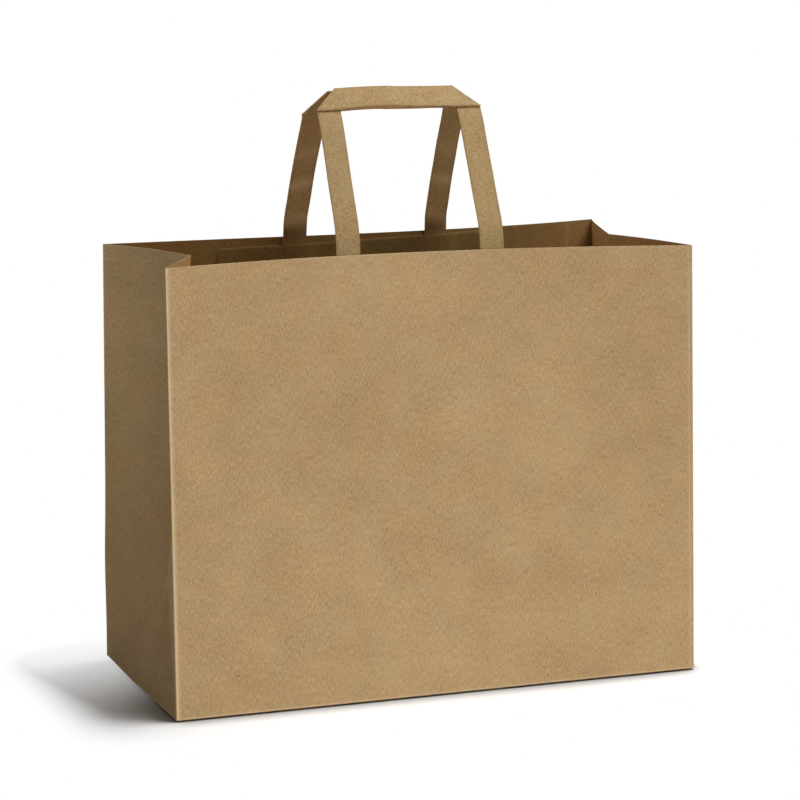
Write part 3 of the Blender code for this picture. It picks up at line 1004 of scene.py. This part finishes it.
def kraft(name, colour, seed):
    """Brown kraft paper: clouds, fine grain, fibres, dark specks, pale lines that are partly scuffs and
    partly painted highlight, painted shade low on the side panels, and dark cut edges.
    """
    material = bpy.data.materials.new(name)
    material.use_nodes = True
    tree = material.node_tree
    shader = tree.nodes["Principled BSDF"]
    sheet = add_node(tree, "UVMap", uv_map="sheet").outputs["UV"]
    place = mapped(tree, sheet, "Location", [seed * share for share in SEED_SHARES])
    level, grain = paper_tone(tree, place)

    clouds = brown_clouds(tree, level, colour)
    tinted = mixed(tree, 1.0, clouds, warm_patches(tree, place), blend_type="MULTIPLY")
    specked = mixed(tree, speck_cover(tree, place), tinted, scaled(colour, SPECK))
    # Painted shade: the side panels turn warmer and darker towards the base
    side_shaded = mixed(tree, attribute(tree, "side_base_shade"), specked, PAINTED_SIDE_SHADE, blend_type="MULTIPLY")
    # The scuff layer holds real scuffs and edge lines together with painted highlights
    wear_and_highlight = attribute(tree, "wear_and_highlight")
    pale_share = calculate(tree, "MULTIPLY", wear_and_highlight, SCUFF_AND_HIGHLIGHT_SHOWN, use_clamp=True)
    scuffed_and_highlighted = mixed(tree, pale_share, side_shaded, scaled(colour, SCUFF_AND_HIGHLIGHT))
    cut = calculate(tree, "MULTIPLY", wear_and_highlight, CUT_SHOWN, use_clamp=True)
    tree.links.new(mixed(tree, cut, scuffed_and_highlighted, scaled(colour, CUT_EDGE)), shader.inputs["Base Color"])

    bump = add_node(tree, "Bump", {"Height": grain, "Strength": BUMP_STRENGTH, "Distance": BUMP_HEIGHT})
    tree.links.new(bump.outputs["Normal"], shader.inputs["Normal"])
    tree.links.new(remapped(tree, level, ROUGHNESS_LEVELS, ROUGHNESS), shader.inputs["Roughness"])
    shader.inputs["Specular IOR Level"].default_value = PAPER_SHINE
    return material


# The floor, the lights and the camera

def floor_paleness(tree, spot, seen):
    """How pale the floor is: less so at the left, and darker by a painted contact shadow, for the camera
    only, where it meets the bag.
    """
    across = add_node(tree, "SeparateXYZ", {"Vector": spot}).outputs["X"]
    pale = remapped(tree, across, LEFT_SPAN, LEFT_PALENESS)
    # Painted contact shadow: the floor's occlusion near the bag darkens what the camera sees
    openness = add_node(tree, "AmbientOcclusion", {"Distance": CONTACT_REACH}).outputs["AO"]
    contact_shadow = remapped(tree, openness, CONTACT_OPENNESS, CONTACT_PALENESS)
    unseen = calculate(tree, "SUBTRACT", 1.0, seen)
    return calculate(tree, "MULTIPLY", pale, calculate(tree, "MAXIMUM", contact_shadow, unseen))


def floor_whiteness(tree, spot):
    """How far the shadow has faded into white: with the distance from the bag, and behind it."""
    mirrored = calculate_vector(tree, "ABSOLUTE", spot)
    beyond = calculate_vector(tree, "SUBTRACT", mirrored, (BAG_WIDTH / 2, BAG_DEPTH / 2, 0))
    outside = calculate_vector(tree, "MAXIMUM", beyond, (0, 0, 0))
    uneven = calculate_vector(tree, "MULTIPLY", outside, SHADOW_STRETCH)
    away = add_node(tree, "VectorMath", {0: uneven}, operation="LENGTH").outputs["Value"]
    far = remapped(tree, away, SHADOW_FADE, interpolation_type="SMOOTHSTEP")
    depth = add_node(tree, "SeparateXYZ", {"Vector": spot}).outputs["Y"]
    back = remapped(tree, depth, BACK_SPAN, BACK_FADE, interpolation_type="SMOOTHSTEP")
    return calculate(tree, "MAXIMUM", far, back)


def make_floor():
    bm = bmesh.new()
    bmesh.ops.create_grid(bm, x_segments=1, y_segments=1, size=FLOOR_HALF_SIZE)
    bmesh.ops.translate(bm, verts=bm.verts, vec=(0, 0, FLOOR_HEIGHT))
    mesh = bpy.data.meshes.new("floor")
    bm.to_mesh(mesh)
    bm.free()
    floor = bpy.data.objects.new("floor", mesh)
    bpy.context.scene.collection.objects.link(floor)
    material = bpy.data.materials.new("white_floor")
    material.use_nodes = True
    tree = material.node_tree
    tree.nodes.remove(tree.nodes["Principled BSDF"])
    output = tree.nodes["Material Output"]
    white = add_node(tree, "Emission", {"Color": (1, 1, 1, 1), "Strength": 1.0})
    spot = add_node(tree, "TexCoord").outputs["Object"]
    seen = add_node(tree, "LightPath").outputs["Is Camera Ray"]
    matt = add_node(tree, "BsdfDiffuse", {"Color": floor_paleness(tree, spot, seen)})
    share = calculate(tree, "MULTIPLY", floor_whiteness(tree, spot), seen)
    surface = add_node(tree, "MixShader", {0: share, 1: matt.outputs[0], 2: white.outputs[0]})
    tree.links.new(surface.outputs[0], output.inputs["Surface"])
    mesh.materials.append(material)


def make_world(strength):
    """A weak light from all around, which is white where it is seen."""
    world = bpy.data.worlds.new("studio")
    bpy.context.scene.world = world
    world.use_nodes = True
    tree = world.node_tree
    background = tree.nodes["Background"]
    background.inputs["Color"].default_value = (1, 1, 1, 1)
    path = add_node(tree, "LightPath")
    seen = calculate(tree, "MAXIMUM", path.outputs["Is Camera Ray"], path.outputs["Is Glossy Ray"])
    seen = calculate(tree, "MAXIMUM", seen, path.outputs["Is Transmission Ray"])
    level = remapped(tree, seen, (0.0, 1.0), (strength, 1.0))
    tree.links.new(level, background.inputs["Strength"])


def add_light(lamp):
    data = bpy.data.lights.new(lamp.name, "AREA")
    data.shape = "RECTANGLE"
    data.size = lamp.width
    data.size_y = lamp.height
    data.energy = lamp.power
    data.spread = lamp.spread
    light = bpy.data.objects.new(lamp.name, data)
    light.location = lamp.place
    light.rotation_euler = (Vector(lamp.aim) - Vector(lamp.place)).to_track_quat("-Z", "Y").to_euler()
    bpy.context.scene.collection.objects.link(light)


def make_camera():
    data = bpy.data.cameras.new("camera")
    data.sensor_width = SENSOR_WIDTH
    data.lens = data.sensor_width * FOCAL_PIXELS / IMAGE_PIXELS
    camera = bpy.data.objects.new("camera", data)
    camera.location = CAMERA_PLACE
    camera.rotation_euler = (math.pi / 2 - CAMERA_TILT, 0, -CAMERA_TURN)
    bpy.context.scene.collection.objects.link(camera)
    bpy.context.scene.camera = camera


bpy.context.scene.view_settings.view_transform = "Standard"
make_camera()
make_floor()
make_world(WORLD_LIGHT)
for lamp in LAMPS:
    add_light(lamp)

body_paper = kraft("body_kraft", (0.395, 0.262, 0.126), 0.0)
# Lit and shaded copies of one strap paper: the front strap is painted darker as painted shade against the
# overhead light, the back strap paler as painted light
shaded_strap_paper = kraft("shaded_strap_kraft", (0.27, 0.180, 0.077), 3.1)
lit_back_strap_paper = kraft("lit_back_strap_kraft", (0.40, 0.242, 0.095), 12.3)
# Painted shade: the patches and the inside of the body are painted darker and more saturated than the outside
# paper, as the shaded interior looks
shaded_patch_paper = kraft("shaded_patch_kraft", (0.30, 0.192, 0.058), 7.7)
shaded_inside_paper = kraft("shaded_inside_kraft", (0.375, 0.212, 0.068), 0.0)
make_body(body_paper, shaded_inside_paper)
make_flap("front_flap", FRONT, 0, body_paper)
make_flap("back_flap", BACK, 1, body_paper)
make_handle("front_strap", FRONT_HANDLE, "front_handle", shaded_strap_paper)
make_handle("back_strap", BACK_HANDLE, "back_handle", lit_back_strap_paper)
make_patch("front_patch_paper", FRONT_HANDLE, "front_patch", shaded_patch_paper)
make_patch("back_patch_paper", BACK_HANDLE, "back_patch", shaded_patch_paper)
